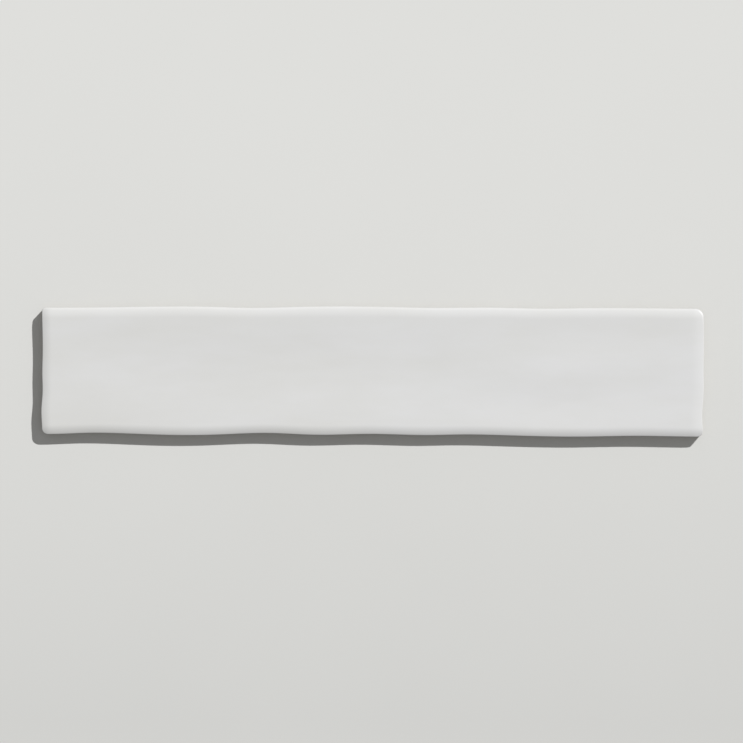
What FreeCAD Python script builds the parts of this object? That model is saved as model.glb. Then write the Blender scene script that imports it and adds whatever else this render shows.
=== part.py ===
import FreeCAD, Part
import math
import os

# A white glazed wall tile of the long, slim brick shape. It is one pressed and fired piece, with
# hand-made looking wavy sides, a face that dips and swells a little, and a keying grid in its back.
# Millimetres. X runs along the tile, Y across it, and Z out of the glazed face. The origin is the
# middle of the back, on the plane that the tile beds on.

# Body
tile_length = 397.0        # mean distance between the two short sides
tile_width = 76.4          # mean distance between the two long sides
tile_thickness = 9.5       # height of the face before its hollows are sunk into it
side_draft = 1.6           # degrees that the sides lean in towards the back
back_bevel = 0.6           # small bevel round the back edge

# Corners, seen from the face
lower_left_radius = 3.6
lower_right_radius = 3.2
upper_right_radius = 5.0
upper_left_radius = 2.0

# How far each side stands out from its mean line, as (share of the way along it, millimetres).
# The long sides are read from left to right, and the short ones from the lower to the upper.
lower_side_wave = [(0.0, 0.35), (0.06, -0.45), (0.115, -0.25), (0.19, 0.62), (0.26, 0.3),
                   (0.34, -0.78), (0.41, 0.18), (0.495, -0.45), (0.585, 0.12), (0.635, -0.3),
                   (0.7, 0.0), (0.82, 0.7), (0.905, 0.1), (1.0, 0.45)]
upper_side_wave = [(0.0, -0.72), (0.06, -0.6), (0.14, -0.08), (0.25, 0.15), (0.31, -0.4),
                   (0.4, 0.38), (0.53, 0.4), (0.6, -0.02), (0.68, 0.3), (0.765, -0.2),
                   (0.825, 0.15), (0.905, 0.3), (1.0, 0.1)]
left_end_wave = [(0.0, 0.05), (0.14, 0.5), (0.3, -0.2), (0.46, 0.03), (0.62, -0.15),
                 (0.8, -0.05), (1.0, 0.25)]
right_end_wave = [(0.0, -0.3), (0.12, -0.7), (0.22, -0.4), (0.35, 0.15), (0.5, 0.05),
                  (0.7, 0.1), (1.0, 0.05)]

# Rolled edges of the face: how far in from each side it starts to bend down, and how much
# lower it is at that side
lower_roll_reach = 5.5
lower_roll_drop = 1.45
upper_roll_reach = 6.2
upper_roll_drop = 1.1
left_roll_reach = 5.4
left_roll_drop = 0.92
right_roll_reach = 7.0
right_roll_drop = 0.5
upper_lip_reach = 1.2      # the upper roll ends in a steeper lip
upper_lip_drop = 0.45
rim_radius = 0.4           # rounding between the face and the sides

# Shallow hollows of the face: the middle as shares of the half length and of the half width,
# the reach along X and Y, and the depth
face_hollows = [(-0.6, 0.0, 90.0, 27.0, 0.8), (0.05, 0.0, 80.0, 26.0, 0.95),
                (0.55, -0.5, 50.0, 12.0, 0.5), (0.82, -0.25, 40.0, 14.0, 0.3),
                (0.64, 0.55, 60.0, 14.0, 0.5), (-0.2, 0.3, 26.0, 10.0, 0.14),
                (-0.85, 0.45, 30.0, 10.0, 0.12), (-0.9, -1.0, 40.0, 16.0, 0.2),
                (0.13, 0.42, 14.0, 10.0, 0.08)]

# Keying grid pressed into the back
grid_pitch = 19.0          # wanted distance from one pocket to the next
grid_rib = 2.4             # width of the ribs left between the pockets
grid_border = 6.0          # width of the plain band round the grid
pocket_depth = 0.7
pocket_draft = 30.0        # degrees that the pocket walls lean

# Spacing of the lines that carry the face's form
face_line_pitch = 9.0
trim_margin = 1.0          # how far the face's form runs past the sides before it is trimmed


def wave_along(wave, start, end):
    """Smooth curve of a side's offset, read by position along the side."""
    places = [start + share * (end - start) for share, offset in wave]
    points = [FreeCAD.Vector(place, offset, 0) for place, (share, offset) in zip(places, wave)]
    level = FreeCAD.Vector(1, 0, 0)
    curve = Part.BSplineCurve()
    curve.interpolate(Points=points, Parameters=places, InitialTangent=level, FinalTangent=level)
    return curve


def side_waves():
    """The four sides' offset curves, each between the two corners that it joins."""
    half_length = tile_length / 2
    half_width = tile_width / 2
    lower = wave_along(lower_side_wave,
                       -half_length - left_end_wave[0][1] + lower_left_radius,
                       half_length + right_end_wave[0][1] - lower_right_radius)
    upper = wave_along(upper_side_wave,
                       -half_length - left_end_wave[-1][1] + upper_left_radius,
                       half_length + right_end_wave[-1][1] - upper_right_radius)
    left = wave_along(left_end_wave,
                      -half_width - lower_side_wave[0][1] + lower_left_radius,
                      half_width + upper_side_wave[0][1] - upper_left_radius)
    right = wave_along(right_end_wave,
                       -half_width - lower_side_wave[-1][1] + lower_right_radius,
                       half_width + upper_side_wave[-1][1] - upper_right_radius)
    return lower, upper, left, right


def offset_at(wave, place):
    """A side's offset at one place, held level beyond the side's ends."""
    return wave.value(min(max(place, wave.FirstParameter), wave.LastParameter)).y


def side_edge(wave, to_outline):
    """One side of the outline, with each point of the wave moved to its place."""
    curve = wave.copy()
    for index in range(1, curve.NbPoles + 1):
        pole = curve.getPole(index)
        curve.setPole(index, to_outline(pole.x, pole.y))
    return curve.toShape()


def corner_edge(start, end, centre, radius):
    """Quarter circle between two sides."""
    middle = (start + end) * 0.5 - centre
    middle.multiply(radius / middle.Length)
    return Part.Arc(start, centre + middle, end).toShape()


def outline_wire(height):
    """The tile's outline at one height, leaning in below the top of the face."""
    inset = (tile_thickness - height) * math.tan(math.radians(side_draft))
    half_length = tile_length / 2 - inset
    half_width = tile_width / 2 - inset
    lower, upper, left, right = side_waves()
    low = side_edge(lower, lambda x, out: FreeCAD.Vector(x, -half_width - out, height))
    high = side_edge(upper, lambda x, out: FreeCAD.Vector(x, half_width + out, height))
    west = side_edge(left, lambda y, out: FreeCAD.Vector(-half_length - out, y, height))
    east = side_edge(right, lambda y, out: FreeCAD.Vector(half_length + out, y, height))

    def ends(edge):
        return edge.valueAt(edge.FirstParameter), edge.valueAt(edge.LastParameter)

    low_start, low_end = ends(low)
    high_start, high_end = ends(high)
    west_start, west_end = ends(west)
    east_start, east_end = ends(east)

    def corner(side_point, end_point, radius):
        centre = FreeCAD.Vector(side_point.x, end_point.y, height)
        return corner_edge(side_point, end_point, centre, radius - inset)

    return Part.Wire([low, corner(low_end, east_start, lower_right_radius),
                      east, corner(high_end, east_end, upper_right_radius),
                      high, corner(high_start, west_end, upper_left_radius),
                      west, corner(low_start, west_start, lower_left_radius)])


def roll_drop(distance, reach, drop):
    """How far the face has bent down at a distance in from a side."""
    return drop * max(0.0, 1 - distance / reach) ** 2


def hollow_drop(x, y):
    """How far the face's hollows lower it at one place."""
    total = 0.0
    for across, up, reach_x, reach_y, depth in face_hollows:
        away_x = (x - across * tile_length / 2) / reach_x
        away_y = (y - up * tile_width / 2) / reach_y
        total += depth * math.exp(-away_x ** 2 - away_y ** 2)
    return total


def form_lines(half, low_reach, high_reach):
    """Places of the lines that carry the face's form, close together where it bends down."""
    rim_lines = 8
    crowding = 1.6
    shares = [(line / rim_lines) ** crowding for line in range(rim_lines)]
    start = low_reach - half
    span = 2 * half - low_reach - high_reach
    steps = math.ceil(span / face_line_pitch)
    low = [-half + low_reach * share for share in shares]
    middle = [start + span * step / steps for step in range(steps + 1)]
    high = [half - high_reach * share for share in reversed(shares)]
    return [-half - trim_margin] + low + middle + high + [half + trim_margin]


def spline_lines(lines, degree):
    """How often each line counts in a smooth form over them, and the places of its poles."""
    repeats = [degree + 1] + [1] * (len(lines) - 2) + [degree + 1]
    knots = [lines[0]] * degree + lines + [lines[-1]] * degree
    places = [sum(knots[index + 1:index + degree + 1]) / degree
              for index in range(len(knots) - degree - 1)]
    return repeats, places


def face_point(along, across, waves):
    """Point of the glazed face for a place on the plain rectangle, moved to the wavy sides."""
    half_length = tile_length / 2
    half_width = tile_width / 2
    lower, upper, left, right = waves
    share_up = (across + half_width) / tile_width
    share_right = (along + half_length) / tile_length
    x = (along + share_right * offset_at(right, across) - (1 - share_right) * offset_at(left, across))
    y = (across + share_up * offset_at(upper, along) - (1 - share_up) * offset_at(lower, along))
    z = (tile_thickness - hollow_drop(x, y)
         - roll_drop(half_width + across, lower_roll_reach, lower_roll_drop)
         - roll_drop(half_width - across, upper_roll_reach, upper_roll_drop)
         - roll_drop(half_width - across, upper_lip_reach, upper_lip_drop)
         - roll_drop(half_length + along, left_roll_reach, left_roll_drop)
         - roll_drop(half_length - along, right_roll_reach, right_roll_drop))
    return FreeCAD.Vector(x, y, z)


def face_sheet():
    """The glazed face as one smooth sheet that follows the wavy sides and runs past them."""
    waves = side_waves()
    along_lines = form_lines(tile_length / 2, left_roll_reach, right_roll_reach)
    across_lines = form_lines(tile_width / 2, lower_roll_reach, upper_roll_reach)
    degree = 3
    along_repeats, along_places = spline_lines(along_lines, degree)
    across_repeats, across_places = spline_lines(across_lines, degree)
    poles = [[face_point(along, across, waves) for across in across_places]
             for along in along_places]
    sheet = Part.BSplineSurface()
    sheet.buildFromPolesMultsKnots(poles, along_repeats, across_repeats,
                                   along_lines, across_lines, False, False, degree, degree)
    return sheet.toShape()


def rectangle(centre_x, centre_y, length, width, height):
    """Rectangle for one end of a pocket."""
    corners = [FreeCAD.Vector(centre_x + sign_x * length / 2, centre_y + sign_y * width / 2, height)
               for sign_x, sign_y in ((-1, -1), (1, -1), (1, 1), (-1, 1))]
    return Part.makePolygon(corners + corners[:1])


def even_count(span):
    """Even number of pockets nearest to the wanted pitch, so that two ribs cross at the middle."""
    return max(2, 2 * round(span / grid_pitch / 2))


def keying_pockets():
    """The grid of shallow pockets that the adhesive keys into."""
    columns = even_count(tile_length - 2 * grid_border)
    rows = even_count(tile_width - 2 * grid_border)
    length = (tile_length - 2 * grid_border - (columns - 1) * grid_rib) / columns
    width = (tile_width - 2 * grid_border - (rows - 1) * grid_rib) / rows
    lean = pocket_depth * math.tan(math.radians(pocket_draft))
    pockets = []
    for column in range(columns):
        for row in range(rows):
            x = (column - (columns - 1) / 2) * (length + grid_rib)
            y = (row - (rows - 1) / 2) * (width + grid_rib)
            mouth = rectangle(x, y, length, width, 0)
            floor = rectangle(x, y, length - 2 * lean, width - 2 * lean, pocket_depth)
            pockets.append(Part.makeLoft([mouth, floor], True, True))
    return pockets


def rim_edges(solid):
    """The edges between the glazed face and the sides."""
    sides_bottom = tile_thickness / 2
    return [edge for edge in solid.Edges if edge.BoundBox.ZMin > sides_bottom]


def back_edges(solid):
    """The edges round the back."""
    return [edge for edge in solid.Edges if edge.BoundBox.ZMax < back_bevel / 2]


def wall_tile():
    """The whole tile: pressed blank, wavy face, rounded rim, bevelled and pocketed back."""
    blank = Part.makeLoft([outline_wire(0), outline_wire(tile_thickness + trim_margin)], True, True)
    above = face_sheet().extrude(FreeCAD.Vector(0, 0, tile_thickness))
    body = blank.cut(above)
    body = body.makeChamfer(back_bevel, back_edges(body))
    body = body.makeFillet(rim_radius, rim_edges(body))
    return body.cut(Part.makeCompound(keying_pockets())).Solids[0]


os.makedirs("parts", exist_ok=True)
tile = wall_tile()
tile.exportStep("parts/wall_tile.step")
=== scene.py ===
import math

import bmesh
import bpy
import numpy as np
from bpy.props import FloatProperty, FloatVectorProperty, PointerProperty
from bpy.types import Operator, Panel, PropertyGroup
from mathutils import Euler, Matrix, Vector
from mathutils.geometry import delaunay_2d_cdt


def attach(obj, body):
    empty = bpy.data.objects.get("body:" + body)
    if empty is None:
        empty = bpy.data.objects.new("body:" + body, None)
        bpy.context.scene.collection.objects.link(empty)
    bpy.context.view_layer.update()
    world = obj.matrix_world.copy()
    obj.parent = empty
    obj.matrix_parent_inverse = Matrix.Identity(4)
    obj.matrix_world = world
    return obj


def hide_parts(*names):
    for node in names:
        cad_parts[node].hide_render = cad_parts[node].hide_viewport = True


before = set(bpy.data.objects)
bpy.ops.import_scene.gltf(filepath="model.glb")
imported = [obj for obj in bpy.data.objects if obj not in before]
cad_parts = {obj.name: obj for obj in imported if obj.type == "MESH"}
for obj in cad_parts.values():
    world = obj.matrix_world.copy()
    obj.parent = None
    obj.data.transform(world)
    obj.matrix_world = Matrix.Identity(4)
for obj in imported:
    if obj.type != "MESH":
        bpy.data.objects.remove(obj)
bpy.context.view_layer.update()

bl_info = {
    "name": "Glazed Wall Tile",
    "version": (1, 0, 0),
    "blender": (4, 5, 0),
    "location": "3D View > Sidebar > Wall Tile",
    "description": "Makes a white glazed wall tile with wavy sides, and the stage it lies on",
    "category": "Object",
}

MM = 0.001

# How far each side stands out from its mean line, as (share of the way along it, metres).
# The long sides are read from left to right, and the short ones from the lower to the upper.
LOWER_SIDE_WAVE = [(0.0, 0.35 * MM), (0.06, -0.45 * MM), (0.115, -0.25 * MM), (0.19, 0.62 * MM),
                   (0.26, 0.3 * MM), (0.34, -0.78 * MM), (0.41, 0.18 * MM), (0.495, -0.45 * MM),
                   (0.585, 0.12 * MM), (0.635, -0.3 * MM), (0.7, 0.0), (0.82, 0.7 * MM),
                   (0.905, 0.1 * MM), (1.0, 0.45 * MM)]
UPPER_SIDE_WAVE = [(0.0, -0.72 * MM), (0.06, -0.6 * MM), (0.14, -0.08 * MM), (0.25, 0.15 * MM),
                   (0.31, -0.4 * MM), (0.4, 0.38 * MM), (0.53, 0.4 * MM), (0.6, -0.02 * MM),
                   (0.68, 0.3 * MM), (0.765, -0.2 * MM), (0.825, 0.15 * MM),
                   (0.905, 0.3 * MM), (1.0, 0.1 * MM)]
LEFT_END_WAVE = [(0.0, 0.05 * MM), (0.14, 0.5 * MM), (0.3, -0.2 * MM), (0.46, 0.03 * MM),
                 (0.62, -0.15 * MM), (0.8, -0.05 * MM), (1.0, 0.25 * MM)]
RIGHT_END_WAVE = [(0.0, -0.3 * MM), (0.12, -0.7 * MM), (0.22, -0.4 * MM), (0.35, 0.15 * MM),
                  (0.5, 0.05 * MM), (0.7, 0.1 * MM), (1.0, 0.05 * MM)]

# Shallow hollows of the face: middle as shares of the half length and half width, reach along
# and across in metres, and depth in metres
FACE_HOLLOWS = [(-0.6, 0.0, 90 * MM, 27 * MM, 0.8 * MM), (0.05, 0.0, 80 * MM, 26 * MM, 0.95 * MM),
                (0.55, -0.5, 50 * MM, 12 * MM, 0.5 * MM), (0.82, -0.25, 40 * MM, 14 * MM, 0.3 * MM),
                (0.64, 0.55, 60 * MM, 14 * MM, 0.5 * MM), (-0.2, 0.3, 26 * MM, 10 * MM, 0.14 * MM),
                (-0.85, 0.45, 30 * MM, 10 * MM, 0.12 * MM),
                (-0.9, -1.0, 40 * MM, 16 * MM, 0.2 * MM), (0.13, 0.42, 14 * MM, 10 * MM, 0.08 * MM)]

# Ripples of the glaze: waves to the metre, share of the ripple height, and seed
RIPPLES = [(45.0, 0.65, 3.0), (120.0, 0.35, 8.0)]

# Heights up the sides, as shares of the thickness, between which hollows and ripples fade in
FADE_START = 0.3
FADE_END = 0.8

# Softened way down a pocket of the back: shares of its wall's lean and of its depth
POCKET_PROFILE = [(0.0, 0.0), (0.12, 0.05), (0.3, 0.2), (0.75, 0.8), (0.95, 0.95), (1.25, 1.0)]

# Sides and corners, counted anticlockwise
LOWER, RIGHT, UPPER, LEFT = range(4)
LOWER_LEFT, LOWER_RIGHT, UPPER_RIGHT, UPPER_LEFT = range(4)

# Fineness of the mesh
CORNER_CELLS = 6           # cells from the middle of a corner to the start of its side
CORNER_CELL = 0.5 * MM
FACE_CELL = 1.15 * MM
BAND_DEPTH = 7.4 * MM      # from the outline to the plain grid in the middle of the face
BAND_RINGS = 14
BAND_CROWDING = 1.25       # over 1, these rings stand closer together near the rim
RIM_RINGS = 6
SIDE_RINGS = 7
BEVEL_RINGS = 3
BEVEL_SWELL = 0.16         # how far the back bevel is rounded out, as a share of its size
POCKET_CORNER_CELLS = 5
SEAM_GAP = 0.002 * MM      # points this close together are welded into one
LAND_TOLERANCE = 0.0001 * MM   # and this close, where the flat of the back is filled
SHARP_ANGLE = math.radians(38)

# Steps of the two searches that settle by themselves
PLACE_PASSES = 4           # for a point's place on the plain rectangle
RIM_PASSES = 10            # for the rounding that touches both the face and the side
FIRST_SLOPE = 0.3          # slope of the face where the second search starts
SLOPE_STEP = 0.02 * MM     # distance over which it measures that slope

# Finish
NOISE_LOW = 0.3            # most of a noise's values lie between these two
NOISE_HIGH = 0.7
LINE_BLUR = 0.06 * MM      # the glaze's colour ends over this height to both sides of its line
POLISH_SWING = 0.05        # how far the glaze's roughness goes up and down
SMUDGE_PALING = 1.12       # how much paler the clay's smudges are
GRAIN_STRENGTH = 0.35
RELIEF_HEIGHT = 0.4 * MM   # bump of a full 1, of which these are the shares
EDGE_RELIEF = 0.35
DIMPLE_RELIEF = 0.012
GRIT_RELIEF = 0.22

# Stage
FLOOR_HALF = 6.0           # half the side of the floor, in metres
# Painted light on the floor: bend of its falloff from paler behind the tile to darker before it
FLOOR_PAINTED_LIGHT_BEND = 1.7      # over 1, the floor's fade starts gently behind the tile
FLOOR_SHINE = 0.3          # specular level of the floor
KEY_BOUNCES = 4            # for the part of the key light that surfaces pass on


class TileSizes(PropertyGroup):
    """Sizes of the fired tile."""

    length: FloatProperty(
        name="Length", description="Mean distance between the two short sides",
        default=0.397, unit="LENGTH")
    width: FloatProperty(
        name="Width", description="Mean distance between the two long sides",
        default=0.0764, unit="LENGTH")
    thickness: FloatProperty(
        name="Thickness", description="Height of the face before its hollows are sunk into it",
        default=0.0095, unit="LENGTH")
    side_draft: FloatProperty(
        name="Side Draft", description="Lean of the sides, in towards the back",
        default=math.radians(1.6), subtype="ANGLE")
    back_bevel: FloatProperty(
        name="Back Bevel", description="Bevel round the back edge",
        default=0.0006, unit="LENGTH")
    rim_radius: FloatProperty(
        name="Rim Radius", description="Rounding between the face and the sides",
        default=0.0004, unit="LENGTH")
    corner_rim_radius: FloatProperty(
        name="Corner Rim Radius", description="Rounding of the rim at the upper right corner",
        default=0.0013, unit="LENGTH")
    corner_rim_reach: FloatProperty(
        name="Corner Rim Reach", description="How far round that corner its rounder rim reaches",
        default=0.0058, unit="LENGTH")
    lower_roll_reach: FloatProperty(
        name="Lower Roll Reach", description="How far in from the lower side the face bends down",
        default=0.0055, unit="LENGTH")
    lower_roll_drop: FloatProperty(
        name="Lower Roll Drop", description="How much lower the face is at the lower side",
        default=0.00145, unit="LENGTH")
    upper_roll_reach: FloatProperty(
        name="Upper Roll Reach", description="How far in from the upper side the face bends down",
        default=0.0062, unit="LENGTH")
    upper_roll_drop: FloatProperty(
        name="Upper Roll Drop", description="How much lower the face is at the upper side",
        default=0.0011, unit="LENGTH")
    upper_lip_reach: FloatProperty(
        name="Upper Lip Reach", description="Width of the steeper lip at the end of the upper roll",
        default=0.0012, unit="LENGTH")
    upper_lip_drop: FloatProperty(
        name="Upper Lip Drop", description="How much further the upper lip bends down",
        default=0.00045, unit="LENGTH")
    left_roll_reach: FloatProperty(
        name="Left Roll Reach", description="How far in from the left end the face bends down",
        default=0.0054, unit="LENGTH")
    left_roll_drop: FloatProperty(
        name="Left Roll Drop", description="How much lower the face is at the left end",
        default=0.00092, unit="LENGTH")
    right_roll_reach: FloatProperty(
        name="Right Roll Reach", description="How far in from the right end the face bends down",
        default=0.007, unit="LENGTH")
    right_roll_drop: FloatProperty(
        name="Right Roll Drop", description="How much lower the face is at the right end",
        default=0.0005, unit="LENGTH")
    lower_left_radius: FloatProperty(
        name="Lower Left Corner", description="Corner radius, seen from the face",
        default=0.0036, unit="LENGTH")
    lower_right_radius: FloatProperty(
        name="Lower Right Corner", description="Corner radius, seen from the face",
        default=0.0032, unit="LENGTH")
    upper_right_radius: FloatProperty(
        name="Upper Right Corner", description="Corner radius, seen from the face",
        default=0.005, unit="LENGTH")
    upper_left_radius: FloatProperty(
        name="Upper Left Corner", description="Corner radius, seen from the face",
        default=0.002, unit="LENGTH")
    hollow_strength: FloatProperty(
        name="Hollow Strength", description="How deep the shallow hollows of the face are",
        default=1.0, min=0.0)
    ripple_height: FloatProperty(
        name="Ripple Height", description="Height of the fine ripples in the fired glaze",
        default=0.00004, unit="LENGTH")


class KeyingSizes(PropertyGroup):
    """Sizes of the keying grid pressed into the back."""

    pitch: FloatProperty(
        name="Pitch", description="Wanted distance from one pocket to the next",
        default=0.019, unit="LENGTH")
    rib: FloatProperty(
        name="Rib", description="Width of the ribs between the pockets",
        default=0.0024, unit="LENGTH")
    border: FloatProperty(
        name="Border", description="Width of the plain band round the grid",
        default=0.006, unit="LENGTH")
    depth: FloatProperty(
        name="Depth", description="Depth of the pockets",
        default=0.0007, unit="LENGTH")
    wall_lean: FloatProperty(
        name="Wall Lean", description="Lean of the pocket walls",
        default=math.radians(30), subtype="ANGLE")
    corner: FloatProperty(
        name="Corner", description="Corner radius of a pocket",
        default=0.0016, unit="LENGTH")


class TileFinish(PropertyGroup):
    """Colours and finish of the glaze and of the bare clay."""

    # The two glaze colours give its cloudy tone, thick and thin, and also a painted light falloff:
    # the darker one is painted shade towards the left end, the paler one painted light towards the
    # right end.
    glaze: FloatVectorProperty(
        name="Glaze", description="Colour of the glaze where it lies thick",
        default=(0.836, 0.837, 0.837), subtype="COLOR", size=3, min=0.0, max=1.0)
    glaze_thin_and_shaded: FloatVectorProperty(
        name="Glaze Shade", description="Colour of the glaze where it lies thin",
        default=(0.792, 0.79, 0.77), subtype="COLOR", size=3, min=0.0, max=1.0)
    # Share of the glaze's tone that is painted light: paler towards the right end, darker towards
    # the left end.
    glaze_painted_light: FloatProperty(
        name="Glaze Drift", description="How much of the glaze's tone drifts from end to end",
        default=0.38, min=0.0, max=1.0)
    clay: FloatVectorProperty(
        name="Bare Clay", description="Colour of the unglazed clay",
        default=(0.53, 0.49, 0.435), subtype="COLOR", size=3, min=0.0, max=1.0)
    clay_speck: FloatVectorProperty(
        name="Clay Specks", description="Colour of the grains in the clay",
        default=(0.34, 0.30, 0.26), subtype="COLOR", size=3, min=0.0, max=1.0)
    glaze_roughness: FloatProperty(
        name="Glaze Roughness", description="Roughness of the fired glaze",
        default=0.4, min=0.0, max=1.0)
    clay_roughness: FloatProperty(
        name="Clay Roughness", description="Roughness of the bare clay",
        default=0.88, min=0.0, max=1.0)
    glaze_line: FloatProperty(
        name="Glaze Line", description="Height above the back where the glaze ends on the sides",
        default=0.0048, unit="LENGTH")
    line_wander: FloatProperty(
        name="Line Wander", description="How far the glaze line wanders up and down",
        default=0.00055, unit="LENGTH")
    line_runs: FloatProperty(
        name="Line Runs", description="How far the small runs of the glaze line go up and down",
        default=0.00012, unit="LENGTH")
    edge_width: FloatProperty(
        name="Edge Width", description="Height over which the glaze thickens above its line",
        default=0.0003, unit="LENGTH")


class StageSettings(PropertyGroup):
    """Floor, lights and camera."""

    floor_colour: FloatVectorProperty(
        name="Floor", description="Colour of the plain floor under the tile",
        default=(0.789, 0.789, 0.766), subtype="COLOR", size=3, min=0.0, max=1.0)
    # Painted light on the floor: paler behind the tile, on the side the key light comes from, and
    # darker before it.
    floor_painted_light: FloatProperty(
        name="Floor Fade", description="Paling of the floor behind the tile, darkening before it",
        default=0.073)
    floor_painted_light_reach: FloatProperty(
        name="Floor Fade Reach", description="How far from the tile the floor's fade ends",
        default=0.21, unit="LENGTH")
    key_strength: FloatProperty(
        name="Key Strength", description="Strength of the key light", default=2.96, min=0.0)
    key_bounce: FloatProperty(
        name="Key Bounce", description="Share of the key light that surfaces pass on",
        default=0.25, min=0.0, max=1.0)
    key_azimuth: FloatProperty(
        name="Key Azimuth", description="Direction that the key light comes from, from +X",
        default=math.radians(48.3), subtype="ANGLE")
    key_elevation: FloatProperty(
        name="Key Elevation", description="Height of the key light above the horizon",
        default=math.radians(41.7), subtype="ANGLE")
    key_size: FloatProperty(
        name="Key Size", description="Angle across the key light, which softens the shadow",
        default=math.radians(1.0), subtype="ANGLE")
    fill_strength: FloatProperty(
        name="Fill Strength", description="Strength of the soft light from all round",
        default=0.244, min=0.0)
    camera_lens: FloatProperty(
        name="Lens", description="Focal length of the camera in millimetres",
        default=800.0, min=1.0)
    camera_height: FloatProperty(
        name="Camera Height", description="Height of the camera above the floor",
        default=9.92, unit="LENGTH")
    camera_roll: FloatProperty(
        name="Camera Roll", description="Turn of the camera about its own axis",
        default=math.radians(0.22), subtype="ANGLE")
    camera_place: FloatVectorProperty(
        name="Camera Place", description="Place of the camera over the tile, along and across it",
        default=(-0.0008, -0.00017), size=2, unit="LENGTH")


# Shape of the tile


def clamped_spline(wave, start, end):
    """Smooth curve through a side's waves, level at both ends and held level beyond them."""
    places = np.array([start + share * (end - start) for share, _ in wave])
    values = np.array([offset for _, offset in wave])
    gaps = np.diff(places)
    rises = np.diff(values) / gaps
    count = len(places)
    matrix = np.zeros((count, count))
    known = np.zeros(count)
    for index in range(1, count - 1):
        matrix[index, index - 1:index + 2] = (gaps[index - 1],
                                              2 * (gaps[index - 1] + gaps[index]), gaps[index])
        known[index] = 6 * (rises[index] - rises[index - 1])
    matrix[0, :2] = (2 * gaps[0], gaps[0])
    matrix[-1, -2:] = (gaps[-1], 2 * gaps[-1])
    known[0] = 6 * rises[0]
    known[-1] = -6 * rises[-1]
    bends = np.linalg.solve(matrix, known)

    def offset(place):
        place = np.clip(place, places[0], places[-1])
        span = np.clip(np.searchsorted(places, place) - 1, 0, count - 2)
        gap = gaps[span]
        before = (places[span + 1] - place) / gap
        after = 1 - before
        return (before * values[span] + after * values[span + 1]
                + ((before ** 3 - before) * bends[span]
                   + (after ** 3 - after) * bends[span + 1]) * gap ** 2 / 6)

    return offset


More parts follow.
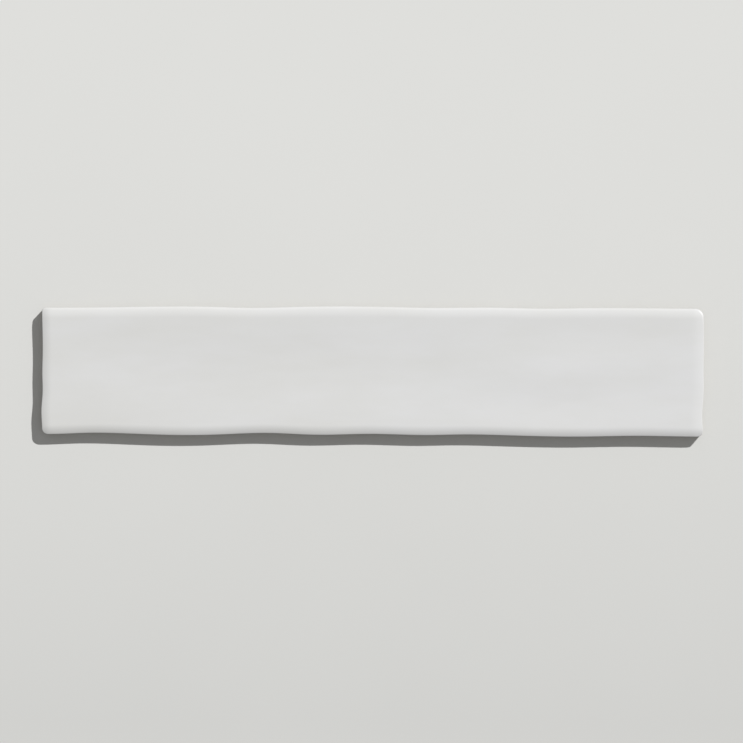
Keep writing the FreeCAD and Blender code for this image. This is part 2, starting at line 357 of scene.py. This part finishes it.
class Outline:
    """The wavy sides and rounded corners of the tile, and the height of its face inside them."""

    def __init__(self, sizes):
        self.sizes = sizes
        self.half_length = sizes.length / 2
        self.half_width = sizes.width / 2
        radii = (sizes.lower_left_radius, sizes.lower_right_radius,
                 sizes.upper_right_radius, sizes.upper_left_radius)
        west = (-self.half_length - LEFT_END_WAVE[0][1], -self.half_length - LEFT_END_WAVE[-1][1])
        east = (self.half_length + RIGHT_END_WAVE[0][1], self.half_length + RIGHT_END_WAVE[-1][1])
        south = (-self.half_width - LOWER_SIDE_WAVE[0][1],
                 -self.half_width - LOWER_SIDE_WAVE[-1][1])
        north = (self.half_width + UPPER_SIDE_WAVE[0][1], self.half_width + UPPER_SIDE_WAVE[-1][1])
        lower_left = Vector((west[0] + radii[LOWER_LEFT], south[0] + radii[LOWER_LEFT]))
        lower_right = Vector((east[0] - radii[LOWER_RIGHT], south[1] + radii[LOWER_RIGHT]))
        upper_right = Vector((east[1] - radii[UPPER_RIGHT], north[1] - radii[UPPER_RIGHT]))
        upper_left = Vector((west[1] + radii[UPPER_LEFT], north[0] - radii[UPPER_LEFT]))
        self.corners = (lower_left, lower_right, upper_right, upper_left)
        self.radii = radii
        self.lower = clamped_spline(LOWER_SIDE_WAVE, lower_left.x, lower_right.x)
        self.upper = clamped_spline(UPPER_SIDE_WAVE, upper_left.x, upper_right.x)
        self.left = clamped_spline(LEFT_END_WAVE, lower_left.y, upper_left.y)
        self.right = clamped_spline(RIGHT_END_WAVE, lower_right.y, upper_right.y)

    def side_points(self, side, run):
        """Points on one of the four sides."""
        if side == LOWER:
            return np.column_stack((run, -self.half_width - self.lower(run)))
        if side == RIGHT:
            return np.column_stack((self.half_length + self.right(run), run))
        if side == UPPER:
            return np.column_stack((run, self.half_width + self.upper(run)))
        return np.column_stack((-self.half_length - self.left(run), run))

    def walk(self, x_lines, y_lines):
        """Points and outward directions round the outline, one for each point round a grid."""
        points, directions = [], []
        half_corner = math.radians(45)
        turn = half_corner * np.arange(CORNER_CELLS) / CORNER_CELLS

        def add_half_corner(corner, angles):
            around = np.column_stack((np.cos(angles), np.sin(angles)))
            points.append(np.array(self.corners[corner]) + self.radii[corner] * around)
            directions.append(around)

        for side in (LOWER, RIGHT, UPPER, LEFT):
            axis = side % 2
            lines = (x_lines, y_lines)[axis]
            begin, finish = side, (side + 1) % 4
            outward = math.radians(90 * side - 90)
            add_half_corner(begin, outward - half_corner + turn)
            middle = lines[CORNER_CELLS:len(lines) - CORNER_CELLS]
            share = (middle - middle[0]) / (middle[-1] - middle[0])
            if side in (UPPER, LEFT):
                share = 1 - share[::-1]
            start, end = self.corners[begin][axis], self.corners[finish][axis]
            run = start + share * (end - start)
            points.append(self.side_points(side, run))
            straight_out = np.array((math.cos(outward), math.sin(outward)))
            directions.append(np.tile(straight_out, (len(run), 1)))
            add_half_corner(finish, outward + half_corner - turn[:0:-1])
        return np.vstack(points), np.vstack(directions)

    def plain_place(self, points):
        """Where a point would lie on the plain rectangle, before the sides were given waves."""
        along, across = points[:, 0], points[:, 1]
        for _ in range(PLACE_PASSES):
            share_right = (along + self.half_length) / self.sizes.length
            share_up = (across + self.half_width) / self.sizes.width
            along_next = (points[:, 0] - share_right * self.right(across)
                          + (1 - share_right) * self.left(across))
            across = (points[:, 1] - share_up * self.upper(along)
                      + (1 - share_up) * self.lower(along))
            along = along_next
        return along, across

    def face_height(self, points):
        """Height of the face with its rolled edges, without its hollows."""
        along, across = self.plain_place(points)
        sizes = self.sizes
        rolls = ((self.half_width + across, sizes.lower_roll_reach, sizes.lower_roll_drop),
                 (self.half_width - across, sizes.upper_roll_reach, sizes.upper_roll_drop),
                 (self.half_width - across, sizes.upper_lip_reach, sizes.upper_lip_drop),
                 (self.half_length + along, sizes.left_roll_reach, sizes.left_roll_drop),
                 (self.half_length - along, sizes.right_roll_reach, sizes.right_roll_drop))
        height = np.full(len(points), sizes.thickness)
        for distance, reach, drop in rolls:
            height -= drop * np.clip(1 - distance / reach, 0, None) ** 2
        return height

    def rim_radii(self, points):
        """Radius of the rim at each point, which grows round the upper right corner."""
        sizes = self.sizes
        reach_out = self.radii[UPPER_RIGHT] * math.cos(math.radians(45))
        middle = np.array(self.corners[UPPER_RIGHT]) + reach_out
        away = np.linalg.norm(points - middle, axis=1)
        share = np.exp(-(away / sizes.corner_rim_reach) ** 2)
        return sizes.rim_radius + (sizes.corner_rim_radius - sizes.rim_radius) * share

    def rim(self, points, outward):
        """Distance in from the outline and height of each point of the rounded rim."""
        sizes = self.sizes
        radius, lean = self.rim_radii(points), math.tan(sizes.side_draft)
        centre_in = radius
        slope = np.full(len(points), FIRST_SLOPE)
        for _ in range(RIM_PASSES):
            touch = centre_in - radius * np.sin(np.arctan(slope))
            height, ahead, behind = (self.face_height(points - outward * (touch + step)[:, None])
                                     for step in (0.0, SLOPE_STEP, -SLOPE_STEP))
            slope = (ahead - behind) / (2 * SLOPE_STEP)
            centre_up = height - radius * np.cos(np.arctan(slope))
            centre_in = radius / math.cos(sizes.side_draft) + (sizes.thickness - centre_up) * lean
        start = math.pi + sizes.side_draft
        end = math.pi / 2 + np.arctan(slope)
        rings = []
        for ring in range(RIM_RINGS + 1):
            angle = start + (end - start) * ring / RIM_RINGS
            rings.append((centre_in + radius * np.cos(angle), centre_up + radius * np.sin(angle)))
        return rings


def grid_lines(half):
    """Lines of the plain grid in the middle of the face, closer together at its corners."""
    inner_half = half - BAND_DEPTH
    corner = np.arange(CORNER_CELLS) * CORNER_CELL
    reach = inner_half - CORNER_CELLS * CORNER_CELL
    cells = 2 * round(reach / FACE_CELL)
    middle = np.linspace(-reach, reach, cells + 1)
    return np.concatenate((-inner_half + corner, middle, inner_half - corner[::-1]))


def grid_perimeter(columns, rows):
    """Indices of the points round a grid, anticlockwise from its lower left one."""
    index = np.arange(columns * rows).reshape(rows, columns)
    return np.concatenate((index[0, :-1], index[:-1, -1], index[-1, :0:-1], index[:0:-1, 0]))


def skin_rings(outline):
    """Rings of points from the back edge, up the sides, over the rim and onto the face."""
    sizes = outline.sizes
    x_lines = grid_lines(outline.half_length)
    y_lines = grid_lines(outline.half_width)
    points, outward = outline.walk(x_lines, y_lines)
    lean = math.tan(sizes.side_draft)
    rim = outline.rim(points, outward)
    rings = []

    def add(distance, height):
        place = points - outward * np.reshape(distance, (-1, 1))
        rings.append(np.column_stack((place, np.broadcast_to(height, len(points)))))

    for ring in range(BEVEL_RINGS + 1):
        share = ring / BEVEL_RINGS
        swell = BEVEL_SWELL * sizes.back_bevel * math.sin(math.pi * share)
        height = sizes.back_bevel * share - swell
        inset = (sizes.thickness - height) * lean + sizes.back_bevel * (1 - share) - swell
        add(max(inset, (sizes.thickness - height) * lean), max(height, 0.0))
    side_bottom, side_top = sizes.back_bevel, rim[0][1]
    for ring in range(1, SIDE_RINGS):
        height = side_bottom + (side_top - side_bottom) * ring / SIDE_RINGS
        add((sizes.thickness - height) * lean, height)
    for distance, height in rim:
        add(distance, height)
    inner_x, inner_y = np.meshgrid(x_lines, y_lines)
    inner = np.column_stack((inner_x.ravel(), inner_y.ravel()))
    around = grid_perimeter(len(x_lines), len(y_lines))
    edge = rings[-1][:, :2]
    for ring in range(1, BAND_RINGS):
        share = (ring / BAND_RINGS) ** BAND_CROWDING
        place = edge + (inner[around] - edge) * share
        rings.append(np.column_stack((place, outline.face_height(place))))
    middle = np.column_stack((inner, outline.face_height(inner)))
    return rings, middle, around, (len(x_lines), len(y_lines))


def pocket_layout(sizes, keying):
    """Even counts, sizes and pitches of the pockets in the back, along and across the tile."""
    layout = []
    for extent in (sizes.length, sizes.width):
        room = extent - 2 * keying.border
        count = max(2, 2 * round(room / keying.pitch / 2))
        size = (room - (count - 1) * keying.rib) / count
        layout.append((count, size, size + keying.rib))
    return layout


def rounded_rectangle(length, width, corner):
    """Points round a rectangle with rounded corners, anticlockwise."""
    points = []
    for quarter, (sign_x, sign_y) in enumerate(((1, -1), (1, 1), (-1, 1), (-1, -1))):
        middle = (sign_x * (length / 2 - corner), sign_y * (width / 2 - corner))
        for step in range(POCKET_CORNER_CELLS + 1):
            turn = math.radians(90 * (quarter - 1) + 90 * step / POCKET_CORNER_CELLS)
            points.append((middle[0] + corner * math.cos(turn),
                           middle[1] + corner * math.sin(turn)))
    return points


def bridge(bm, rings):
    """Faces from each ring of points to the next."""
    for below, above in zip(rings, rings[1:]):
        for place in range(len(below)):
            after = (place + 1) % len(below)
            bm.faces.new((below[place], below[after], above[after], above[place]))


def finished_mesh(bm, name):
    """Mesh with the points and faces made so far."""
    mesh = bpy.data.meshes.new(name)
    bm.to_mesh(mesh)
    bm.free()
    return mesh


def fill_land(bm, loops):
    """Fill the flat back between its outer loop and the pockets' mouths, which stay open."""
    points = [point for loop in loops for point in loop]
    owner = [index for index, loop in enumerate(loops) for _ in loop]
    pairs, start = [], 0
    for loop in loops:
        pairs += [(start + place, start + (place + 1) % len(loop)) for place in range(len(loop))]
        start += len(loop)
    inside_constraints = 1
    _, _, triangles, sources, _, _ = delaunay_2d_cdt(
        [point.co.xy for point in points], pairs, [], inside_constraints, LAND_TOLERANCE)
    for triangle in triangles:
        corners = [sources[corner][0] for corner in triangle]
        in_mouth = len({owner[corner] for corner in corners}) == 1 and owner[corners[0]] > 0
        if not in_mouth:
            bm.faces.new([points[corner] for corner in reversed(corners)])


def skin_mesh(outline, keying):
    """The whole outside of the tile apart from the pockets, open at each pocket's mouth."""
    rings, middle, around, (columns, rows) = skin_rings(outline)
    bm = bmesh.new()
    made = [[bm.verts.new(point) for point in ring] for ring in rings]
    grid = [bm.verts.new(point) for point in middle]
    made.append([grid[index] for index in around])
    bridge(bm, made)
    for row in range(rows - 1):
        for column in range(columns - 1):
            first = row * columns + column
            bm.faces.new((grid[first], grid[first + 1],
                          grid[first + columns + 1], grid[first + columns]))
    loops = [made[0]]
    (across, length, pitch_x), (up, width, pitch_y) = pocket_layout(outline.sizes, keying)
    mouth = rounded_rectangle(length, width, keying.corner)
    for column in range(across):
        for row in range(up):
            middle_x = (column - (across - 1) / 2) * pitch_x
            middle_y = (row - (up - 1) / 2) * pitch_y
            loops.append([bm.verts.new((middle_x + x, middle_y + y, 0.0)) for x, y in mouth])
    fill_land(bm, loops)
    return finished_mesh(bm, "tile_skin")


def pocket_mesh(sizes, keying):
    """One keying pocket, from its mouth at the back to its floor, with softened edges."""
    (_, length, _), (_, width, _) = pocket_layout(sizes, keying)
    lean = keying.depth * math.tan(keying.wall_lean)
    bm = bmesh.new()
    rings = []
    for inset_share, depth_share in POCKET_PROFILE:
        inset = lean * inset_share
        ring = rounded_rectangle(length - 2 * inset, width - 2 * inset, keying.corner - inset)
        rings.append([bm.verts.new((x, y, keying.depth * depth_share)) for x, y in ring])
    bridge(bm, rings[::-1])
    bm.faces.new(rings[-1][::-1])
    return finished_mesh(bm, "keying_pocket")


# Nodes that shapes and materials share


def feed(tree, socket, value):
    """Set a socket to a number, or link an output to it."""
    if isinstance(value, (int, float)):
        socket.default_value = value
    else:
        tree.links.new(value, socket)


def maths(tree, operation, *values):
    """Sum, product or the like of one or two values. Each is a number or an output."""
    node = tree.nodes.new("ShaderNodeMath")
    node.operation = operation
    for socket, value in zip(node.inputs, values):
        feed(tree, socket, value)
    return node.outputs[0]


def span(tree, value, low, high, new_low=0.0, new_high=1.0):
    """Value mapped from one range to another and clamped. Each end is a number or an output."""
    node = tree.nodes.new("ShaderNodeMapRange")
    for label, end in (("Value", value), ("From Min", low), ("From Max", high),
                       ("To Min", new_low), ("To Max", new_high)):
        feed(tree, node.inputs[label], end)
    return node.outputs[0]


def axes_of(tree, place):
    """A place's X, Y and Z, as outputs by name."""
    split = tree.nodes.new("ShaderNodeSeparateXYZ")
    tree.links.new(place, split.inputs[0])
    return split.outputs


# Node tree that shapes the tile


def hollow_group():
    """Node group for one hollow: how far it lowers the face at a place."""
    tree = bpy.data.node_groups.new("Face Hollow", "GeometryNodeTree")
    labels = ("Along", "Across", "Middle Along", "Middle Across",
              "Reach Along", "Reach Across", "Depth")
    for label in labels:
        tree.interface.new_socket(label, in_out="INPUT", socket_type="NodeSocketFloat")
    tree.interface.new_socket("Drop", in_out="OUTPUT", socket_type="NodeSocketFloat")
    inlet, outlet = tree.nodes.new("NodeGroupInput"), tree.nodes.new("NodeGroupOutput")
    along, across, middle_along, middle_across, reach_along, reach_across, depth = (
        inlet.outputs[label] for label in labels)
    away_along = maths(tree, "DIVIDE", maths(tree, "SUBTRACT", along, middle_along), reach_along)
    away_across = maths(tree, "DIVIDE", maths(tree, "SUBTRACT", across, middle_across),
                        reach_across)
    away = maths(tree, "ADD", maths(tree, "POWER", away_along, 2.0),
                 maths(tree, "POWER", away_across, 2.0))
    bell = maths(tree, "EXPONENT", maths(tree, "MULTIPLY", away, -1.0))
    tree.links.new(maths(tree, "MULTIPLY", bell, depth), outlet.inputs["Drop"])
    return tree


def hollows_drop(tree, inlet, axes):
    """How far all the hollows together lower the face at a place."""
    group = hollow_group()
    drop = 0.0
    for along, across, reach_along, reach_across, depth in FACE_HOLLOWS:
        hollow = tree.nodes.new("GeometryNodeGroup")
        hollow.node_tree = group
        values = {"Along": axes["X"], "Across": axes["Y"],
                  "Middle Along": maths(tree, "MULTIPLY", inlet.outputs["Half Length"], along),
                  "Middle Across": maths(tree, "MULTIPLY", inlet.outputs["Half Width"], across),
                  "Reach Along": reach_along, "Reach Across": reach_across, "Depth": depth}
        for label, value in values.items():
            feed(tree, hollow.inputs[label], value)
        drop = maths(tree, "ADD", drop, hollow.outputs["Drop"])
    return maths(tree, "MULTIPLY", drop, inlet.outputs["Hollow Strength"])


def ripple_drop(tree, inlet):
    """How far the fine ripples lower the glaze at a place."""
    ripple = 0.0
    for scale, share, seed in RIPPLES:
        wave = tree.nodes.new("ShaderNodeTexNoise")
        wave.noise_dimensions = "4D"
        wave.inputs["W"].default_value = seed
        wave.inputs["Scale"].default_value = scale
        wave.inputs["Detail"].default_value = 1.0
        ripple = maths(tree, "ADD", ripple, maths(tree, "MULTIPLY", wave.outputs[0], share))
    return maths(tree, "MULTIPLY", ripple, inlet.outputs["Ripple Height"])


def sunk_skin(tree, inlet):
    """The skin with its hollows and ripples sunk into the face, fading out down the sides."""
    axes = axes_of(tree, tree.nodes.new("GeometryNodeInputPosition").outputs[0])
    drop = maths(tree, "ADD", hollows_drop(tree, inlet, axes), ripple_drop(tree, inlet))
    fade = span(tree, axes["Z"],
                maths(tree, "MULTIPLY", inlet.outputs["Thickness"], FADE_START),
                maths(tree, "MULTIPLY", inlet.outputs["Thickness"], FADE_END))
    sink = maths(tree, "MULTIPLY", drop, fade)
    offset = tree.nodes.new("ShaderNodeCombineXYZ")
    tree.links.new(maths(tree, "MULTIPLY", sink, -1.0), offset.inputs["Z"])
    move = tree.nodes.new("GeometryNodeSetPosition")
    tree.links.new(inlet.outputs["Skin"], move.inputs["Geometry"])
    tree.links.new(offset.outputs[0], move.inputs["Offset"])
    return move.outputs[0]


def repeated_pockets(tree, inlet):
    """One pocket repeated over the keying grid of the back."""
    spans = []
    for count, pitch in (("Columns", "Pitch Along"), ("Rows", "Pitch Across")):
        gaps = maths(tree, "SUBTRACT", inlet.outputs[count], 1.0)
        spans.append(maths(tree, "MULTIPLY", gaps, inlet.outputs[pitch]))
    grid = tree.nodes.new("GeometryNodeMeshGrid")
    tree.links.new(spans[0], grid.inputs["Size X"])
    tree.links.new(spans[1], grid.inputs["Size Y"])
    tree.links.new(inlet.outputs["Columns"], grid.inputs["Vertices X"])
    tree.links.new(inlet.outputs["Rows"], grid.inputs["Vertices Y"])
    pocket = tree.nodes.new("GeometryNodeObjectInfo")
    tree.links.new(inlet.outputs["Pocket"], pocket.inputs["Object"])
    place = tree.nodes.new("GeometryNodeInstanceOnPoints")
    tree.links.new(grid.outputs["Mesh"], place.inputs["Points"])
    tree.links.new(pocket.outputs["Geometry"], place.inputs["Instance"])
    return place.outputs[0]


def tile_tree():
    """Tree that sinks the face's form into the skin, adds the pockets and sets the finish."""
    tree = bpy.data.node_groups.new("Glazed Tile Form", "GeometryNodeTree")
    tree.interface.new_socket("Skin", in_out="INPUT", socket_type="NodeSocketGeometry")
    for label in ("Half Length", "Half Width", "Thickness", "Hollow Strength", "Ripple Height",
                  "Pitch Along", "Pitch Across"):
        tree.interface.new_socket(label, in_out="INPUT", socket_type="NodeSocketFloat")
    for label in ("Columns", "Rows"):
        tree.interface.new_socket(label, in_out="INPUT", socket_type="NodeSocketInt")
    tree.interface.new_socket("Pocket", in_out="INPUT", socket_type="NodeSocketObject")
    tree.interface.new_socket("Finish", in_out="INPUT", socket_type="NodeSocketMaterial")
    tree.interface.new_socket("Tile", in_out="OUTPUT", socket_type="NodeSocketGeometry")
    inlet, outlet = tree.nodes.new("NodeGroupInput"), tree.nodes.new("NodeGroupOutput")
    join = tree.nodes.new("GeometryNodeJoinGeometry")
    tree.links.new(repeated_pockets(tree, inlet), join.inputs[0])
    tree.links.new(sunk_skin(tree, inlet), join.inputs[0])
    realize = tree.nodes.new("GeometryNodeRealizeInstances")
    tree.links.new(join.outputs[0], realize.inputs[0])
    finish = tree.nodes.new("GeometryNodeSetMaterial")
    tree.links.new(realize.outputs[0], finish.inputs["Geometry"])
    tree.links.new(inlet.outputs["Finish"], finish.inputs["Material"])
    tree.links.new(finish.outputs[0], outlet.inputs["Tile"])
    return tree


def add_tree(piece, tree, values):
    """Geometry Nodes modifier with its inputs set by their identifiers."""
    modifier = piece.modifiers.new(tree.name, "NODES")
    modifier.node_group = tree
    for item in tree.interface.items_tree:
        if item.in_out == "INPUT" and item.name in values:
            modifier[item.identifier] = values[item.name]


# Materials


def new_material(name):
    """Material with one Principled shader, and its tree."""
    material = bpy.data.materials.new(name)
    material.use_nodes = True
    tree = material.node_tree
    return material, tree, tree.nodes["Principled BSDF"]


def object_place(tree, stretch=(1.0, 1.0, 1.0)):
    """Object coordinates, stretched by a Mapping node."""
    coordinates = tree.nodes.new("ShaderNodeTexCoord")
    mapping = tree.nodes.new("ShaderNodeMapping")
    mapping.inputs["Scale"].default_value = stretch
    tree.links.new(coordinates.outputs["Object"], mapping.inputs["Vector"])
    return mapping.outputs[0]


def noise(tree, place, scale, detail=2.0, roughness=0.5):
    """Noise value between 0 and 1, with the scale in waves to the metre."""
    node = tree.nodes.new("ShaderNodeTexNoise")
    node.inputs["Scale"].default_value = scale
    node.inputs["Detail"].default_value = detail
    node.inputs["Roughness"].default_value = roughness
    tree.links.new(place, node.inputs["Vector"])
    return node.outputs[0]


def swing(tree, place, scale, detail, reach, middle=0.0):
    """Noise that swings to both sides of a middle value."""
    return span(tree, noise(tree, place, scale, detail), NOISE_LOW, NOISE_HIGH,
                middle - reach, middle + reach)


def blend_colour(tree, share, first, second):
    """Mix of two colours. Each is a colour or an output."""
    node = tree.nodes.new("ShaderNodeMix")
    node.data_type = "RGBA"
    first_socket, second_socket, result = node.inputs[6], node.inputs[7], node.outputs[2]
    tree.links.new(share, node.inputs["Factor"])
    for socket, colour in ((first_socket, first), (second_socket, second)):
        if isinstance(colour, bpy.types.NodeSocket):
            tree.links.new(colour, socket)
        else:
            socket.default_value = (*colour, 1.0)
    return result


def blend_value(tree, share, first, second):
    """Mix of two values. Each is a number or an output."""
    node = tree.nodes.new("ShaderNodeMix")
    first_socket, second_socket, result = node.inputs[2], node.inputs[3], node.outputs[0]
    tree.links.new(share, node.inputs["Factor"])
    feed(tree, first_socket, first)
    feed(tree, second_socket, second)
    return result


def glaze_colour(tree, streaked, along, finish, length):
    """Cloudy white with painted light that pales it from the tile's left end to its right end."""
    clouds = span(tree, noise(tree, streaked, scale=55.0, detail=4.0, roughness=0.55),
                  low=0.32, high=0.68)
    # painted light falloff along the tile: darker towards the left end, paler towards the right end
    painted_light_falloff = span(tree, along, -length / 2, length / 2)
    tone = maths(tree, "ADD", maths(tree, "MULTIPLY", clouds, 1 - finish.glaze_painted_light),
                 maths(tree, "MULTIPLY", painted_light_falloff, finish.glaze_painted_light))
    return blend_colour(tree, tone, finish.glaze_thin_and_shaded, finish.glaze)


def clay_colour(tree, place, finish):
    """Bare clay with paler smudges and dark grains."""
    smudges = span(tree, noise(tree, place, scale=40.0, detail=5.0, roughness=0.6),
                   low=0.35, high=0.7)
    pale = tuple(min(1.0, channel * SMUDGE_PALING) for channel in finish.clay)
    clay = blend_colour(tree, smudges, finish.clay, pale)
    grains = span(tree, noise(tree, place, scale=2600.0), low=0.56, high=0.68)
    return blend_colour(tree, maths(tree, "MULTIPLY", grains, GRAIN_STRENGTH), clay,
                        finish.clay_speck)


def tile_relief(tree, place, glazed, thickening):
    """Bump of the glaze's edge and faint dimples, and of the grit in the bare clay."""
    edge = maths(tree, "MULTIPLY", thickening, EDGE_RELIEF)
    dimples = maths(tree, "MULTIPLY", noise(tree, place, scale=900.0, detail=1.0),
                    DIMPLE_RELIEF)
    grit = maths(tree, "MULTIPLY", noise(tree, place, scale=3200.0, detail=4.0, roughness=0.7),
                 GRIT_RELIEF)
    bump = tree.nodes.new("ShaderNodeBump")
    bump.inputs["Distance"].default_value = RELIEF_HEIGHT
    bump.inputs["Strength"].default_value = 1.0
    tree.links.new(maths(tree, "ADD", edge, blend_value(tree, glazed, grit, dimples)),
                   bump.inputs["Height"])
    return bump.outputs[0]


def tile_material(finish, length):
    """White glaze over the face and sides, and bare clay on the back and below the glaze line."""
    material, tree, shader = new_material("white_glaze_on_clay")
    place = object_place(tree)
    streaked = object_place(tree, stretch=(0.3, 1.0, 1.0))
    axes = axes_of(tree, place)

    wander = swing(tree, place, scale=70.0, detail=3.0, reach=finish.line_wander)
    runs = swing(tree, place, scale=420.0, detail=2.0, reach=finish.line_runs)
    height = maths(tree, "ADD", axes["Z"], maths(tree, "ADD", wander, runs))
    line_bottom = finish.glaze_line - LINE_BLUR
    glazed = span(tree, height, line_bottom, finish.glaze_line + LINE_BLUR)
    thickening = span(tree, height, line_bottom, finish.glaze_line + finish.edge_width)

    tree.links.new(blend_colour(tree, glazed, clay_colour(tree, place, finish),
                                glaze_colour(tree, streaked, axes["X"], finish, length)),
                   shader.inputs["Base Color"])
    polish = swing(tree, streaked, scale=140.0, detail=3.0, reach=POLISH_SWING,
                   middle=finish.glaze_roughness)
    tree.links.new(blend_value(tree, glazed, finish.clay_roughness, polish),
                   shader.inputs["Roughness"])
    tree.links.new(tile_relief(tree, place, glazed, thickening), shader.inputs["Normal"])
    return material


def floor_material(stage):
    """Plain pale floor with faint unevenness and painted light: paler behind the tile than before
    it.
    """
    material, tree, shader = new_material("pale_floor")
    place = object_place(tree)
    across = axes_of(tree, place)["Y"]
    # painted light falloff: paler behind the tile, darker before it, out to the reach
    ahead = span(tree, across, stage.floor_painted_light_reach, -stage.floor_painted_light_reach)
    cloud = swing(tree, place, scale=5.0, detail=4.0, reach=0.06)
    fade = maths(tree, "ADD", maths(tree, "POWER", ahead, FLOOR_PAINTED_LIGHT_BEND), cloud)
    behind, before = (tuple(min(1.0, channel * (1 + side * stage.floor_painted_light))
                            for channel in stage.floor_colour) for side in (1, -1))
    tree.links.new(blend_colour(tree, fade, behind, before), shader.inputs["Base Color"])
    tree.links.new(swing(tree, place, scale=30.0, detail=2.0, reach=0.04, middle=0.66),
                   shader.inputs["Roughness"])
    shader.inputs["Specular IOR Level"].default_value = FLOOR_SHINE
    return material


# Operators


class WALLTILE_OT_tile(Operator):
    """Make the glazed tile in one piece, in the place of the plain one"""

    bl_idname = "wall_tile.make_tile"
    bl_label = "Make Glazed Tile"

    def execute(self, context):
        scene = context.scene
        sizes, keying = scene.tile_sizes, scene.tile_keying
        outline = Outline(sizes)
        blank = bpy.data.objects.new("tile_blank", skin_mesh(outline, keying))
        pocket = bpy.data.objects.new("keying_pocket", pocket_mesh(sizes, keying))
        for piece in (blank, pocket):
            scene.collection.objects.link(piece)
        (columns, _, pitch_along), (rows, _, pitch_across) = pocket_layout(sizes, keying)
        add_tree(blank, tile_tree(), {
            "Half Length": sizes.length / 2, "Half Width": sizes.width / 2,
            "Thickness": sizes.thickness, "Hollow Strength": sizes.hollow_strength,
            "Ripple Height": sizes.ripple_height,
            "Pitch Along": pitch_along, "Pitch Across": pitch_across,
            "Columns": columns, "Rows": rows,
            "Pocket": pocket, "Finish": tile_material(scene.tile_finish, sizes.length)})
        context.view_layer.update()
        evaluated = blank.evaluated_get(context.evaluated_depsgraph_get())
        mesh = bpy.data.meshes.new_from_object(evaluated)
        for piece in (blank, pocket):
            bpy.data.objects.remove(piece)
        mesh.name = "glazed_tile"
        self.close_and_smooth(mesh)
        tile = bpy.data.objects.new("glazed_tile", mesh)
        scene.collection.objects.link(tile)
        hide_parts("wall_tile")
        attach(tile, "root")
        return {"FINISHED"}

    @staticmethod
    def close_and_smooth(mesh):
        """Weld the pockets to the skin, face it outwards, test that it is closed and smooth it."""
        bm = bmesh.new()
        bm.from_mesh(mesh)
        bmesh.ops.remove_doubles(bm, verts=bm.verts, dist=SEAM_GAP)
        bmesh.ops.recalc_face_normals(bm, faces=bm.faces)
        open_edges = sum(not edge.is_manifold for edge in bm.edges)
        if open_edges:
            raise RuntimeError(f"the tile's skin has {open_edges} open edges")
        bm.to_mesh(mesh)
        bm.free()
        mesh.shade_smooth()
        mesh.set_sharp_from_angle(angle=SHARP_ANGLE)


class WALLTILE_OT_stage(Operator):
    """Lay the plain floor and set the lights and the camera"""

    bl_idname = "wall_tile.make_stage"
    bl_label = "Make Stage"

    def execute(self, context):
        stage = context.scene.tile_stage
        self.floor(context.scene, stage)
        self.lights(context.scene, stage)
        self.camera(context.scene, stage)
        return {"FINISHED"}

    @staticmethod
    def floor(scene, stage):
        """Plain floor that fills the view."""
        mesh = bpy.data.meshes.new("floor")
        corners = [(x * FLOOR_HALF, y * FLOOR_HALF, 0.0)
                   for x, y in ((-1, -1), (1, -1), (1, 1), (-1, 1))]
        mesh.from_pydata(corners, [], [(0, 1, 2, 3)])
        mesh.materials.append(floor_material(stage))
        floor = bpy.data.objects.new("floor", mesh)
        scene.collection.objects.link(floor)

    @staticmethod
    def lights(scene, stage):
        """Key light, of which surfaces pass on only a share, and soft light from all round."""
        lean = math.pi / 2 - stage.key_elevation
        for name, share, bounces in (("key", 1 - stage.key_bounce, 0),
                                     ("key_passed_on", stage.key_bounce, KEY_BOUNCES)):
            sun = bpy.data.lights.new(name, "SUN")
            sun.energy = stage.key_strength * share
            sun.angle = stage.key_size
            sun.cycles.max_bounces = bounces
            key = bpy.data.objects.new(name, sun)
            key.rotation_euler = Euler((0.0, lean, stage.key_azimuth))
            scene.collection.objects.link(key)
        world = bpy.data.worlds.new("soft_room")
        world.use_nodes = True
        background = world.node_tree.nodes["Background"]
        background.inputs["Color"].default_value = (1.0, 1.0, 1.0, 1.0)
        background.inputs["Strength"].default_value = stage.fill_strength
        scene.world = world
        scene.view_settings.view_transform = "Standard"

    @staticmethod
    def camera(scene, stage):
        """Camera straight above the tile, with a long lens."""
        data = bpy.data.cameras.new("camera")
        data.lens = stage.camera_lens
        camera = bpy.data.objects.new("camera", data)
        camera.location = (*stage.camera_place, stage.camera_height)
        camera.rotation_euler = Euler((0.0, 0.0, stage.camera_roll))
        scene.collection.objects.link(camera)
        scene.camera = camera


class WALLTILE_PT_panel(Panel):
    """Sidebar panel with the tile's sizes, finish and stage"""

    bl_idname = "WALLTILE_PT_panel"
    bl_label = "Wall Tile"
    bl_space_type = "VIEW_3D"
    bl_region_type = "UI"
    bl_category = "Wall Tile"

    def draw(self, context):
        scene = context.scene
        for title, group in (("Sizes", scene.tile_sizes), ("Keying Grid", scene.tile_keying),
                             ("Finish", scene.tile_finish), ("Stage", scene.tile_stage)):
            box = self.layout.box()
            box.label(text=title)
            for name in group.bl_rna.properties.keys():
                if name not in ("rna_type", "name"):
                    box.prop(group, name)
        self.layout.operator(WALLTILE_OT_tile.bl_idname)
        self.layout.operator(WALLTILE_OT_stage.bl_idname)


CLASSES = (TileSizes, KeyingSizes, TileFinish, StageSettings,
           WALLTILE_OT_tile, WALLTILE_OT_stage, WALLTILE_PT_panel)
GROUPS = {"tile_sizes": TileSizes, "tile_keying": KeyingSizes,
          "tile_finish": TileFinish, "tile_stage": StageSettings}


def register():
    for kind in CLASSES:
        bpy.utils.register_class(kind)
    for name, group in GROUPS.items():
        setattr(bpy.types.Scene, name, PointerProperty(type=group))


def unregister():
    for name in GROUPS:
        delattr(bpy.types.Scene, name)
    for kind in reversed(CLASSES):
        bpy.utils.unregister_class(kind)


def main():
    register()
    bpy.ops.wall_tile.make_tile()
    bpy.ops.wall_tile.make_stage()


if __name__ == "__main__":
    main()
